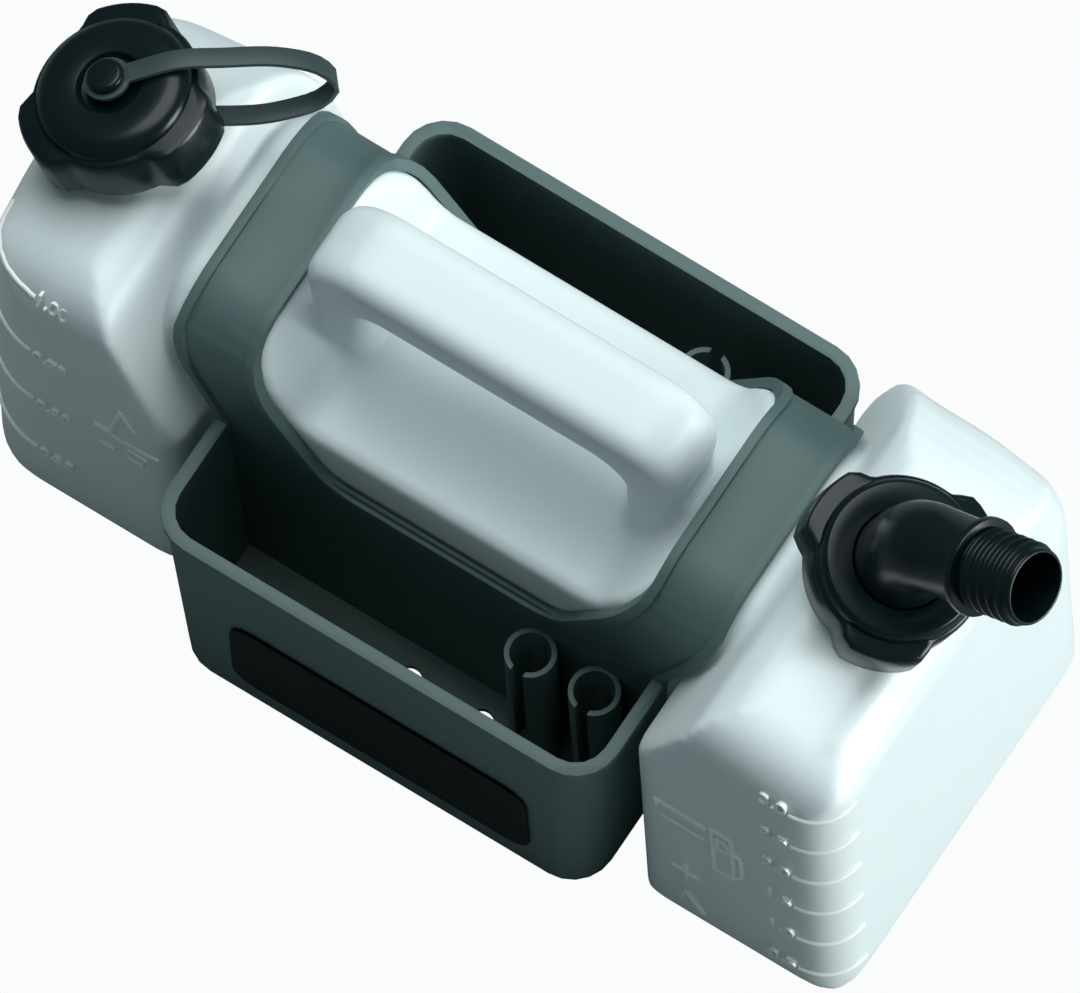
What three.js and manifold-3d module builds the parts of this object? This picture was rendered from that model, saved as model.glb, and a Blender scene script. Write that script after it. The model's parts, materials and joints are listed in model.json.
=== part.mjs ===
// Combination fuel can: one blown twin canister with a handle, a moulded tool carrier that
// saddles it, a tethered screw cap on the oil side and a swivelling spout on the fuel side.
// Millimetres, +Z up, +X towards the fuel chamber, -Y is the front with the label plate.
// The origin is on the flat base, under the middle of the handle.
import * as THREE from 'three';
import { mergeVertices } from 'three/addons/utils/BufferGeometryUtils.js';
import Module from 'manifold-3d';

const wasm = await Module();
wasm.setup();

// The pockets fill the room between the tanks, so the tanks start clear of them.
const pocketHalfLength = 86.5;
const fuelTankGap = 6.5;
const oilTankGap = 5.5;

// Fuel tank, the right end of the canister
const fuelInner = pocketHalfLength + fuelTankGap;
const fuelOuter = 173;
const fuelFrontDepth = 80;
const fuelRearDepth = 73;
const fuelRidgeX = 123;
const fuelRidgeZ = 194;
const fuelSlope = 17;
const fuelCutFootZ = 126;
const fuelCornerRadius = 16;

// Oil tank, the left end of the canister
const oilInner = -pocketHalfLength - oilTankGap;
const oilOuter = -176;
const oilFrontDepth = 67;
const oilRearDepth = 54;
const oilRidgeX = -122;
const oilRidgeZ = 197;
const oilSlope = 20;
const oilCutFootZ = 112;
const oilCornerRadius = 28;

// Spine between the tanks, which carries the handle and wears the saddle
const spineHalfDepth = 45.5;
const spineTopRadius = 24;
const valleyZ = 172;
const valleyX = 78;
const humpZ = 140;
const humpX = 57;
const humpEdgeRadius = 9;
const webX = -46;

// Blown walls and their edges
const wall = 2;
const webThickness = 4;
const baseRadius = 8;
const shoulderRadius = 22;
const rearShoulderRadius = 44;
const ridgeRadius = 16;
const innerCornerRadius = 9;

// Handle, blown with the canister
const handleLeft = -78;
const handleRight = 75;
const handleTopZ = 210;
const handleThick = 26;
const handleWidth = 32;
const handleLeg = 26;
const handleCorner = 22;
const handleInnerCorner = 11;
const handleTaper = 10;
const handleBevel = 7;
const handleRootZ = 132;

// Necks, both square to the sloping tops
const neckRadius = 20;
const neckWall = 3;
const neckHeight = 22;
const neckSink = 9;
const neckBeadRadius = 22.4;
const neckBeadHeight = 2;
const neckBeadZ = 2.6;
const oilNeckX = -147;
const fuelNeckX = 143;

// Tool carrier
const sheet = 2.4;
const sheetGap = 0.4;
const pocketDraft = 5.5;
const pocketWall = 2.6;
const pocketRimZ = 116;
const pocketFloorZ = 1.5;
const pocketCornerRadius = 15;
const frontReach = 93;
const rearReach = 79;
const reachDraft = 1.5;
const rimBand = 3.4;
const rimOverhang = 1.1;
const rimCornerGrip = 0.9;
const archOuter = 106;
const archFlareZ = 164;
const lipWidth = 3.4;
const lipProud = 1.5;
const openingHalfTop = 77;
const openingHalfLow = 44;
const openingLowZ = 113;
const openingRadius = 19;

// Tool sleeves and drain holes inside the pockets
const sleeveRadius = 8.8;
const sleeveWall = 1.8;
const sleeveSlot = 4.6;
const sleeveTopZ = 92;
const frontSleeveX = [39, 64];
const rearSleeveX = [34];
const drainRadius = 4.2;
const drainX = [-9, 19];
const drainInset = 11;

// Label plate on the front pocket
const plateLength = 116;
const plateHeight = 51;
const plateMiddleZ = 41;
const plateMiddleX = 2;
const plateThick = 0.9;
const plateCorner = 9;
const plateGap = 0.3;

// Screw closures: the oil cap and the nut of the spout share one grip outline
const gripRadius = 29.2;
const gripLobe = 4.8;
const gripLobes = 3;
const gripLobeSpan = 26;
const gripFlank = 7;
const gripBottom = 7;
const gripTop = 27;
const gripEdge = 2;
const threadGap = 1.6;
const capDiscRadius = 25.5;
const capDiscTop = 33;
const capRoof = 5.4;
const capRecessRadius = 11;
const capLobeTurn = 117;
const nutLobeTurn = 54;
const nutStepRadius = 26.6;
const nutStepTop = 31.5;

// Seals under the closures
const sealThick = 2;
const sealClear = 0.3;

// Tether strap and the rivet that holds its eye
const strapWidth = 7;
const strapThick = 1.6;
const strapEyeRadius = 8;
const strapRingWidth = 4.2;
const strapRingZ = 5.05;
const strapEyeZ = 33.6;
const rivetHeadRadius = 6.3;
const rivetHeadHeight = 3;
const rivetShankRadius = 3;
const rivetClear = 0.35;
const rivetBite = 4.5;

// Spout
const spoutBaseRadius = 16.6;
const spoutTubeRadius = 14.6;
const spoutBore = 12;
const spoutFlangeRadius = 19.6;
const spoutFlangeThick = 2.6;
const spoutRise = 59;
const spoutReach = 51;
const spoutBend = 45;
const spoutBendRadius = 20;
const spoutCollarRadius = 17;
const spoutCollarWidth = 3;
const spoutThreads = 5;
const spoutThreadPitch = 4;
const spoutThreadHeight = 1.3;
const spoutBaseHeight = 8;

const radians = THREE.MathUtils.degToRad;

// A corner list is [u, v, radius] and runs anticlockwise.
function roundCorners(corners) {
  const points = [];
  corners.forEach(([u, v, radius], i) => {
    const here = new THREE.Vector2(u, v);
    const before = new THREE.Vector2(...corners.at(i - 1)).sub(here).normalize();
    const after = new THREE.Vector2(...corners[(i + 1) % corners.length]).sub(here).normalize();
    const half = Math.acos(before.dot(after)) / 2;
    if (!(radius > 0) || half > 1.55) {
      points.push(here);
      return;
    }
    const centre = before.clone().add(after).normalize().multiplyScalar(radius / Math.sin(half)).add(here);
    const start = before.clone().multiplyScalar(radius / Math.tan(half)).add(here).sub(centre);
    const turn = Math.sign(start.cross(after.clone().multiplyScalar(radius / Math.tan(half)).add(here).sub(centre)));
    const sweep = turn * (Math.PI - 2 * half);
    const steps = Math.max(2, Math.min(7, Math.ceil(radius / 3.5)));
    for (let k = 0; k <= steps; k += 1) {
      points.push(start.clone().rotateAround(new THREE.Vector2(), (sweep * k) / steps).add(centre));
    }
  });
  return points;
}

// The same corners moved inwards by a distance, with their radii kept concentric.
function inset(corners, distance) {
  const count = corners.length;
  const edges = corners.map(([u, v], i) => {
    const [nextU, nextV] = corners[(i + 1) % count];
    const along = new THREE.Vector2(nextU - u, nextV - v).normalize();
    return { along, point: new THREE.Vector2(u - along.y * distance, v + along.x * distance) };
  });
  return corners.map(([, , radius], i) => {
    const a = edges.at(i - 1);
    const b = edges[i];
    const turn = a.along.cross(b.along);
    const travel = b.point.clone().sub(a.point).cross(b.along) / turn;
    const corner = a.point.clone().addScaledVector(a.along, travel);
    return [corner.x, corner.y, Math.max(radius - Math.sign(turn) * distance, 0.6)];
  });
}

function solidOf(geometry) {
  const bare = geometry.index ? geometry.toNonIndexed() : geometry.clone();
  bare.deleteAttribute('normal');
  bare.deleteAttribute('uv');
  const merged = mergeVertices(bare, 1e-4);
  return new wasm.Manifold(new wasm.Mesh({
    numProp: 3,
    vertProperties: new Float32Array(merged.attributes.position.array),
    triVerts: new Uint32Array(merged.index.array),
  }));
}

function geometryOf(solid) {
  const mesh = solid.getMesh();
  const geometry = new THREE.BufferGeometry();
  geometry.setAttribute('position', new THREE.BufferAttribute(new Float32Array(mesh.vertProperties), 3));
  geometry.setIndex(new THREE.BufferAttribute(new Uint32Array(mesh.triVerts), 1));
  geometry.computeVertexNormals();
  return geometry;
}

function joined(...solids) {
  return solids.reduce((whole, solid) => whole.add(solid));
}

const axisX = new THREE.Vector3(1, 0, 0);
const axisY = new THREE.Vector3(0, 1, 0);
const axisZ = new THREE.Vector3(0, 0, 1);

function extrusion(points, depth) {
  return new THREE.ExtrudeGeometry(new THREE.Shape(points), { depth, bevelEnabled: false });
}

// Prisms: an outline in (x, z) runs along Y, one in (y, z) along X, one in (x, y) along Z.
function prismY(points, low, high) {
  return extrusion(points, high - low).rotateX(Math.PI / 2).translate(0, high, 0);
}

function prismX(points, low, high) {
  const turn = new THREE.Matrix4().makeBasis(axisY, axisZ, axisX);
  return extrusion(points, high - low).applyMatrix4(turn).translate(low, 0, 0);
}

function prismZ(points, low, high) {
  return extrusion(points, high - low).translate(0, 0, low);
}

// A closed solid through a row of outlines that have as many points each.
function loft(rings) {
  const count = rings[0].length;
  const positions = rings.flat().flatMap((p) => [p.x, p.y, p.z]);
  const index = [];
  for (let ring = 0; ring + 1 < rings.length; ring += 1) {
    for (let k = 0; k < count; k += 1) {
      const a = ring * count + k;
      const b = ring * count + ((k + 1) % count);
      index.push(a, b, b + count, a, b + count, a + count);
    }
  }
  const ends = [rings[0], rings.at(-1)];
  ends.forEach((ring, end) => {
    const centre = ring.reduce((sum, p) => sum.add(p), new THREE.Vector3()).divideScalar(count);
    const hub = positions.length / 3;
    positions.push(centre.x, centre.y, centre.z);
    const first = end * (rings.length - 1) * count;
    for (let k = 0; k < count; k += 1) {
      const a = first + k;
      const b = first + ((k + 1) % count);
      index.push(...(end ? [hub, a, b] : [hub, b, a]));
    }
  });
  const geometry = new THREE.BufferGeometry();
  geometry.setAttribute('position', new THREE.Float32BufferAttribute(positions, 3));
  geometry.setIndex(index);
  return geometry;
}

function lathe(profile, segments = 48) {
  const points = profile.map(([radius, height]) => new THREE.Vector2(radius, height));
  return new THREE.LatheGeometry(points, segments).rotateX(Math.PI / 2);
}

function cylinder(radius, low, high, segments = 48) {
  return lathe([[0, low], [radius, low], [radius, high], [0, high]], segments);
}

function ringOf(inner, outer, low, high, segments = 48) {
  return lathe([[inner, low], [outer, low], [outer, high], [inner, high], [inner, low]], segments);
}

// Frames of the two necks: local Z runs up the neck, local origin is where it meets the top
function topAt(x, ridgeX, ridgeZ, slope) {
  return ridgeZ - Math.abs(x - ridgeX) * Math.tan(radians(slope));
}

const oilFrame = new THREE.Matrix4().makeRotationY(radians(-oilSlope));
oilFrame.setPosition(oilNeckX, 0, topAt(oilNeckX, oilRidgeX, oilRidgeZ, oilSlope));
const fuelFrame = new THREE.Matrix4().makeRotationY(radians(fuelSlope));
fuelFrame.setPosition(fuelNeckX, 0, topAt(fuelNeckX, fuelRidgeX, fuelRidgeZ, fuelSlope));

// One end tank: its side, plan and end outlines cut one another, each inset by the same skin.
function tank(end, skin) {
  const side = end.outer > 0 ? 1 : -1;
  const outerTop = topAt(end.outer, end.ridgeX, end.ridgeZ, end.slope);
  let sideView = [
    [end.inner, 0, baseRadius / 2],
    [end.outer, 0, baseRadius],
    [end.outer, outerTop, ridgeRadius],
    [end.ridgeX, end.ridgeZ, ridgeRadius],
    [end.inner, end.cutFootZ, innerCornerRadius],
  ];
  let planView = [
    [end.inner, -end.frontDepth, innerCornerRadius],
    [end.outer, -end.frontDepth, end.cornerRadius],
    [end.outer, end.rearDepth, end.cornerRadius],
    [end.inner, end.rearDepth, innerCornerRadius],
  ];
  if (side < 0) {
    sideView = sideView.reverse();
    planView = planView.reverse();
  }
  const low = [
    [-end.frontDepth, 0, baseRadius],
    [end.rearDepth, 0, baseRadius],
    [end.rearDepth, 2 * end.ridgeZ, 0],
    [-end.frontDepth, 2 * end.ridgeZ, 0],
  ];
  const high = [
    [-end.frontDepth, -end.ridgeZ, 0],
    [end.rearDepth, -end.ridgeZ, 0],
    [end.rearDepth, end.ridgeZ, rearShoulderRadius],
    [-end.frontDepth, end.ridgeZ, shoulderRadius],
  ];
  const reach = Math.max(Math.abs(end.inner), Math.abs(end.outer)) + 1;
  const shoulders = prismX(roundCorners(inset(high, skin)), -reach, reach);
  const fall = -side * Math.tan(radians(end.slope));
  const lean = new THREE.Matrix4().makeShear(0, fall, 0, 0, 0, 0);
  shoulders.translate(-end.ridgeX, 0, 0).applyMatrix4(lean).translate(end.ridgeX, 0, 0);
  return solidOf(prismY(roundCorners(inset(sideView, skin)), -end.frontDepth - 1, end.rearDepth + 1))
    .intersect(solidOf(prismZ(roundCorners(inset(planView, skin)), -1, 2 * end.ridgeZ)))
    .intersect(solidOf(prismX(roundCorners(inset(low, skin)), -reach, reach)))
    .intersect(solidOf(shoulders));
}

const fuelEnd = {
  inner: fuelInner,
  outer: fuelOuter,
  frontDepth: fuelFrontDepth,
  rearDepth: fuelRearDepth,
  ridgeX: fuelRidgeX,
  ridgeZ: fuelRidgeZ,
  slope: fuelSlope,
  cutFootZ: fuelCutFootZ,
  cornerRadius: fuelCornerRadius,
};
const oilEnd = {
  inner: oilInner,
  outer: oilOuter,
  frontDepth: oilFrontDepth,
  rearDepth: oilRearDepth,
  ridgeX: oilRidgeX,
  ridgeZ: oilRidgeZ,
  slope: oilSlope,
  cutFootZ: oilCutFootZ,
  cornerRadius: oilCornerRadius,
};

// The spine between two X stations, with the valleys for the arches and the hump between them.
function spine(low, high, skin) {
  const sideView = [
    [2 * oilRidgeX, 0, 0],
    [2 * fuelRidgeX, 0, 0],
    [2 * fuelRidgeX, valleyZ, 0],
    [valleyX, valleyZ, humpEdgeRadius],
    [humpX, humpZ, humpEdgeRadius],
    [-humpX, humpZ, humpEdgeRadius],
    [-valleyX, valleyZ, humpEdgeRadius],
    [2 * oilRidgeX, valleyZ, 0],
  ];
  const endView = [
    [-spineHalfDepth, 0, baseRadius],
    [spineHalfDepth, 0, baseRadius],
    [spineHalfDepth, valleyZ, spineTopRadius],
    [-spineHalfDepth, valleyZ, spineTopRadius],
  ];
  const humpView = [
    [-spineHalfDepth, 0, baseRadius],
    [spineHalfDepth, 0, baseRadius],
    [spineHalfDepth, humpZ, humpEdgeRadius],
    [-spineHalfDepth, humpZ, humpEdgeRadius],
  ];
  const body = solidOf(prismY(roundCorners(inset(sideView, skin)), -spineHalfDepth, spineHalfDepth));
  const crown = solidOf(prismX(roundCorners(inset(endView, skin)), low, high));
  const hump = solidOf(prismX(roundCorners(inset(humpView, skin)), Math.max(low, -valleyX), Math.min(high, valleyX)));
  return joined(crown, hump).intersect(body);
}

// The handle is a flat arch with rounded edges all round; the skin moves every face inwards.
function handle(skin, footZ) {
  const under = handleTopZ - handleThick;
  const bevel = handleBevel - skin;
  const outline = [
    [handleLeft + handleTaper, footZ, 0],
    [handleLeft + handleLeg, footZ, 0],
    [handleLeft + handleLeg, under, handleInnerCorner],
    [handleRight - handleLeg, under, handleInnerCorner],
    [handleRight - handleLeg, footZ, 0],
    [handleRight - handleTaper, footZ, 0],
    [handleRight, handleTopZ, handleCorner],
    [handleLeft, handleTopZ, handleCorner],
  ];
  const shape = new THREE.Shape(roundCorners(inset(outline, skin + bevel)));
  const depth = handleWidth - 2 * skin - 2 * bevel;
  const arch = new THREE.ExtrudeGeometry(shape, {
    depth,
    bevelThickness: bevel,
    bevelSize: bevel,
    bevelSegments: 3,
  });
  return solidOf(arch.rotateX(Math.PI / 2).translate(0, depth / 2, 0));
}

function neck(frame) {
  const outer = lathe([
    [0, -neckSink],
    [neckRadius + 2, -neckSink],
    [neckRadius + 2, 0.4],
    [neckRadius, neckBeadZ - 0.6],
    [neckBeadRadius, neckBeadZ],
    [neckBeadRadius, neckBeadZ + neckBeadHeight],
    [neckRadius, neckBeadZ + neckBeadHeight + 0.5],
    [neckRadius, neckHeight - 0.6],
    [neckRadius - 0.6, neckHeight],
    [0, neckHeight],
  ]);
  return solidOf(outer.applyMatrix4(frame));
}

function neckBore(frame) {
  const bore = neckRadius - neckWall;
  return solidOf(cylinder(bore, -neckSink - wall - 6, neckHeight + 1).applyMatrix4(frame));
}

function canister() {
  const shell = joined(
    tank(fuelEnd, 0),
    tank(oilEnd, 0),
    spine(oilRidgeX, fuelRidgeX, 0),
    handle(0, handleRootZ),
    neck(fuelFrame),
    neck(oilFrame),
  );
  const fuelRoom = joined(
    tank(fuelEnd, wall),
    spine(webX + webThickness / 2, fuelRidgeX, wall),
    handle(wall, handleRootZ),
    neckBore(fuelFrame),
  );
  const webFace = webX - webThickness / 2;
  const oilRoom = joined(tank(oilEnd, wall), spine(oilRidgeX, webFace, wall), neckBore(oilFrame));
  const beyond = solidOf(prismY([
    new THREE.Vector2(2 * oilOuter, -1),
    new THREE.Vector2(webX + webThickness / 2, -1),
    new THREE.Vector2(webX + webThickness / 2, humpZ + 1),
    new THREE.Vector2(handleLeft + handleLeg, humpZ + 1),
    new THREE.Vector2(handleLeft + handleLeg, valleyZ + 1),
    new THREE.Vector2(2 * oilOuter, valleyZ + 1),
  ], -fuelFrontDepth, fuelFrontDepth));
  return shell.subtract(fuelRoom.subtract(beyond)).subtract(oilRoom);
}

// The saddle's side view: straight flanks behind the pockets, then arches that flare outwards.
function saddleView(margin) {
  const foot = pocketHalfLength - pocketDraft;
  const outline = [
    [-foot, pocketFloorZ, 0],
    [foot, pocketFloorZ, 0],
    [pocketHalfLength, pocketRimZ, 14],
    [archOuter, archFlareZ, 14],
    [archOuter, valleyZ + 2 * shoulderRadius, 0],
    [-archOuter, valleyZ + 2 * shoulderRadius, 0],
    [-archOuter, archFlareZ, 14],
    [-pocketHalfLength, pocketRimZ, 14],
  ];
  return inset(outline, margin);
}

function openingView(margin) {
  const outline = [
    [-openingHalfLow, openingLowZ, openingRadius],
    [openingHalfLow, openingLowZ, openingRadius],
    [openingHalfTop, valleyZ - 4, openingRadius],
    [openingHalfTop, valleyZ + 3 * shoulderRadius, 0],
    [-openingHalfTop, valleyZ + 3 * shoulderRadius, 0],
    [-openingHalfTop, valleyZ - 4, openingRadius],
  ];
  return inset(outline, -margin);
}

// A bent sheet over the spine, open below, between two distances from the spine's surface.
function saddleSheet(near, far) {
  const arch = (distance, foot) => roundCorners([
    [-spineHalfDepth - distance, foot, 0],
    [spineHalfDepth + distance, foot, 0],
    [spineHalfDepth + distance, valleyZ + distance, spineTopRadius + distance],
    [-spineHalfDepth - distance, valleyZ + distance, spineTopRadius + distance],
  ]);
  const outer = solidOf(prismX(arch(far, pocketFloorZ), -archOuter - 1, archOuter + 1));
  return outer.subtract(solidOf(prismX(arch(near, pocketFloorZ - 1), -archOuter - 2, archOuter + 2)));
}

function sideCut(corners) {
  return solidOf(prismY(roundCorners(corners), -fuelFrontDepth, fuelFrontDepth));
}

// One pocket outline at a height: side is -1 in front and 1 at the rear.
function pocketOutline(side, reach, z, skin, back) {
  const rise = (z - pocketFloorZ) / (pocketRimZ - pocketFloorZ);
  const half = pocketHalfLength - pocketDraft * (1 - rise) - skin;
  const far = reach - reachDraft * (1 - rise) - skin;
  const corner = pocketCornerRadius - skin;
  const corners = side < 0
    ? [[-half, -far, corner], [half, -far, corner], [half, -back, 0], [-half, -back, 0]]
    : [[-half, back, 0], [half, back, 0], [half, far, corner], [-half, far, corner]];
  return roundCorners(corners).map((p) => new THREE.Vector3(p.x, p.y, z));
}

function pocket(side, reach) {
  const face = spineHalfDepth + sheetGap + sheet;
  const outside = loft([
    pocketOutline(side, reach, pocketFloorZ, 0, face - sheet / 2),
    pocketOutline(side, reach, pocketRimZ, 0, face - sheet / 2),
  ]);
  const inside = loft([
    pocketOutline(side, reach, pocketFloorZ + pocketWall, pocketWall, face),
    pocketOutline(side, reach, pocketRimZ + 1, pocketWall, face),
  ]);
  const bandOuter = pocketOutline(side, reach, pocketRimZ, -rimOverhang, face - sheet / 2);
  const bandInner = pocketOutline(side, reach, pocketRimZ, pocketWall + rimCornerGrip, face);
  const band = solidOf(prismZ(bandOuter, pocketRimZ - rimBand, pocketRimZ))
    .subtract(solidOf(prismZ(bandInner, pocketRimZ - rimBand - 1, pocketRimZ + 1)));
  return solidOf(outside).subtract(solidOf(inside)).add(band);
}

// A tool sleeve stands on the pocket floor against the saddle, slotted towards the outside.
function sleeve(side, x) {
  const y = side * (spineHalfDepth + sheetGap + sheet + sleeveRadius - 0.8);
  const tube = solidOf(ringOf(sleeveRadius - sleeveWall, sleeveRadius, pocketFloorZ + 1, sleeveTopZ, 28));
  const half = sleeveSlot / 2;
  const slot = solidOf(prismZ(roundCorners([
    [-half, Math.min(0, side * 2 * sleeveRadius), 0],
    [half, Math.min(0, side * 2 * sleeveRadius), 0],
    [half, Math.max(0, side * 2 * sleeveRadius), 0],
    [-half, Math.max(0, side * 2 * sleeveRadius), 0],
  ]), pocketFloorZ + pocketWall, sleeveTopZ + 1));
  return tube.subtract(slot).translate([x, y, 0]);
}

function toolCarrier() {
  const near = sheetGap;
  const far = sheetGap + sheet;
  const flanks = sideCut(saddleView(0)).subtract(sideCut(openingView(0)));
  const lips = sideCut(saddleView(0)).subtract(sideCut(saddleView(lipWidth)))
    .add(sideCut(openingView(lipWidth)))
    .subtract(sideCut(openingView(0)));
  const aboveRim = solidOf(prismZ([
    new THREE.Vector2(-2 * archOuter, -frontReach),
    new THREE.Vector2(2 * archOuter, -frontReach),
    new THREE.Vector2(2 * archOuter, rearReach),
    new THREE.Vector2(-2 * archOuter, rearReach),
  ], openingLowZ - lipWidth - 1, valleyZ + 2 * shoulderRadius));
  const rolled = saddleSheet(far - sheet / 2, far + lipProud).intersect(lips).intersect(aboveRim);
  let carrier = joined(
    saddleSheet(near, far).intersect(flanks),
    rolled.intersect(sideCut(saddleView(0))),
    pocket(-1, frontReach),
    pocket(1, rearReach),
    ...frontSleeveX.map((x) => sleeve(-1, x)),
    ...rearSleeveX.map((x) => sleeve(1, x)),
  );
  drainX.forEach((x) => {
    const frontDrain = [x, -(spineHalfDepth + far + drainInset), 0];
    const rearDrain = [x, spineHalfDepth + far + drainInset, 0];
    const drill = solidOf(cylinder(drainRadius, pocketFloorZ - 1, pocketFloorZ + pocketWall + 1, 20));
    carrier = carrier.subtract(drill.translate(frontDrain)).subtract(drill.translate(rearDrain));
  });
  return carrier;
}

// The plate follows the lean of the front wall.
function labelPlate() {
  const halfLength = plateLength / 2;
  const halfHeight = plateHeight / 2;
  const outline = roundCorners([
    [-halfLength, -halfHeight, plateCorner],
    [halfLength, -halfHeight, plateCorner],
    [halfLength, halfHeight, plateCorner],
    [-halfLength, halfHeight, plateCorner],
  ]);
  const lean = Math.atan2(reachDraft, pocketRimZ - pocketFloorZ);
  const rise = (plateMiddleZ - pocketFloorZ) / (pocketRimZ - pocketFloorZ);
  const wallY = -(frontReach - reachDraft * (1 - rise));
  const plate = prismY(outline, -plateThick - plateGap, -plateGap);
  return plate.rotateX(lean).translate(plateMiddleX, wallY, plateMiddleZ);
}

// The grip outline: a round body with broad lobes.
function gripOutline(turn, shrink) {
  const points = [];
  const count = 72;
  for (let k = 0; k < count; k += 1) {
    const angle = (360 * k) / count;
    const pitch = 360 / gripLobes;
    const away = Math.abs(((angle - turn + 720 + pitch / 2) % pitch) - pitch / 2);
    const rise = THREE.MathUtils.smoothstep(gripLobeSpan + gripFlank - away, 0, 2 * gripFlank);
    const radius = gripRadius + gripLobe * rise - shrink;
    points.push(new THREE.Vector2(radius * Math.cos(radians(angle)), radius * Math.sin(radians(angle))));
  }
  return points;
}

function gripBody(turn) {
  const shape = new THREE.Shape(gripOutline(turn, gripEdge));
  const body = new THREE.ExtrudeGeometry(shape, {
    depth: gripTop - gripBottom - 2 * gripEdge,
    bevelThickness: gripEdge,
    bevelSize: gripEdge,
    bevelSegments: 2,
  });
  return solidOf(body.translate(0, 0, gripBottom + gripEdge));
}

const sealLow = neckHeight + sealClear;
const sealHigh = sealLow + sealThick;
const threadRoom = neckRadius + threadGap;

function oilCap() {
  const roofLow = sealHigh + sealClear;
  const recessFloor = roofLow + capRoof;
  const disc = lathe([
    [0, gripTop - gripEdge],
    [capDiscRadius + 1.6, gripTop - gripEdge],
    [capDiscRadius + 1.2, gripTop + 1.6],
    [capDiscRadius, gripTop + 3.4],
    [capDiscRadius - 2.2, capDiscTop - 0.9],
    [capDiscRadius - 5, capDiscTop],
    [capRecessRadius + 0.8, capDiscTop - 0.4],
    [capRecessRadius, capDiscTop - 1.2],
    [capRecessRadius - 0.6, recessFloor],
    [0, recessFloor],
  ]);
  const room = cylinder(threadRoom, gripBottom - 1, roofLow);
  const seat = cylinder(rivetShankRadius + rivetClear, recessFloor - rivetBite, recessFloor + 1, 24);
  const above = cylinder(capRecessRadius - 0.6, recessFloor, capDiscTop + 1);
  return joined(gripBody(capLobeTurn), solidOf(disc))
    .subtract(solidOf(above))
    .subtract(solidOf(room))
    .subtract(solidOf(seat));
}

function rivet() {
  const low = strapEyeZ + strapThick + rivetClear;
  const foot = sealHigh + sealClear + capRoof - rivetBite + rivetClear;
  return lathe([
    [0, foot],
    [rivetShankRadius - 0.5, foot],
    [rivetShankRadius, foot + 0.8],
    [rivetShankRadius, low],
    [rivetHeadRadius, low],
    [rivetHeadRadius, low + rivetHeadHeight - 1],
    [rivetHeadRadius - 1, low + rivetHeadHeight],
    [0, low + rivetHeadHeight],
  ], 32);
}

// The route of the strap from the rivet to the neck, in the model's frame
const strapRoute = [
  [-142, 16, 226.2],
  [-130, 25, 225.2],
  [-115, 36, 222.5],
  [-103, 42, 217.5],
  [-97, 42, 211],
  [-99, 36, 206.4],
  [-106, 28, 204.6],
  [-114, 21, 203.6],
];

function strap() {
  const eye = new THREE.Vector3(0, 0, strapEyeZ + strapThick / 2).applyMatrix4(oilFrame);
  const aim = new THREE.Vector3(...strapRoute[0]).sub(eye).normalize();
  const start = eye.clone().addScaledVector(aim, strapEyeRadius - 2);
  const ringMiddle = neckRadius + threadGap / 2 + strapRingWidth / 2;
  const leave = new THREE.Vector3(...strapRoute.at(-1)).applyMatrix4(oilFrame.clone().invert());
  const leaveAngle = Math.atan2(leave.y, leave.x);
  const ringZ = strapRingZ + strapThick / 2;
  const finish = new THREE.Vector3(
    ringMiddle * Math.cos(leaveAngle),
    ringMiddle * Math.sin(leaveAngle),
    ringZ,
  ).applyMatrix4(oilFrame);
  const curve = new THREE.CatmullRomCurve3([
    start,
    ...strapRoute.map((p) => new THREE.Vector3(...p)),
    finish,
  ]);
  const steps = 34;
  const sideways = new THREE.Vector3(-0.66, 0.75, 0).transformDirection(oilFrame);
  const rings = [];
  for (let k = 0; k <= steps; k += 1) {
    const point = curve.getPointAt(k / steps);
    const along = curve.getTangentAt(k / steps);
    const across = sideways.clone().addScaledVector(along, -sideways.dot(along)).normalize();
    const up = new THREE.Vector3().crossVectors(along, across);
    const corner = (a, b) => point.clone()
      .addScaledVector(across, (a * strapWidth) / 2)
      .addScaledVector(up, (b * strapThick) / 2);
    rings.push([corner(-1, -1), corner(1, -1), corner(1, 1), corner(-1, 1)]);
  }
  const band = solidOf(loft(rings));
  const eyeRing = ringOf(rivetShankRadius + rivetClear, strapEyeRadius, strapEyeZ, strapEyeZ + strapThick, 32);
  const neckRing = ringOf(
    neckRadius + threadGap / 2,
    neckRadius + threadGap / 2 + strapRingWidth,
    strapRingZ,
    strapRingZ + strapThick,
  );
  return joined(band, solidOf(eyeRing.applyMatrix4(oilFrame)), solidOf(neckRing.applyMatrix4(oilFrame)))
    .subtract(solidOf(cylinder(rivetShankRadius + rivetClear, strapEyeZ - 9, strapEyeZ + 9, 24).applyMatrix4(oilFrame)))
    .subtract(solidOf(cylinder(neckRadius + threadGap / 2, strapRingZ - 4, strapRingZ + 4).applyMatrix4(oilFrame)));
}

function spoutNut() {
  const flangeTop = sealHigh + sealClear + spoutFlangeThick + sealClear;
  const step = lathe([
    [0, gripTop - gripEdge],
    [nutStepRadius + 1.4, gripTop - gripEdge],
    [nutStepRadius + 0.8, gripTop + 1.8],
    [nutStepRadius, nutStepTop - 1],
    [nutStepRadius - 1, nutStepTop],
    [0, nutStepTop],
  ]);
  const room = cylinder(threadRoom, gripBottom - 1, flangeTop);
  const hole = cylinder(spoutBaseRadius + sealClear * 2, flangeTop - 1, nutStepTop + 1);
  return joined(gripBody(nutLobeTurn), solidOf(step)).subtract(solidOf(room)).subtract(solidOf(hole));
}

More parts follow.
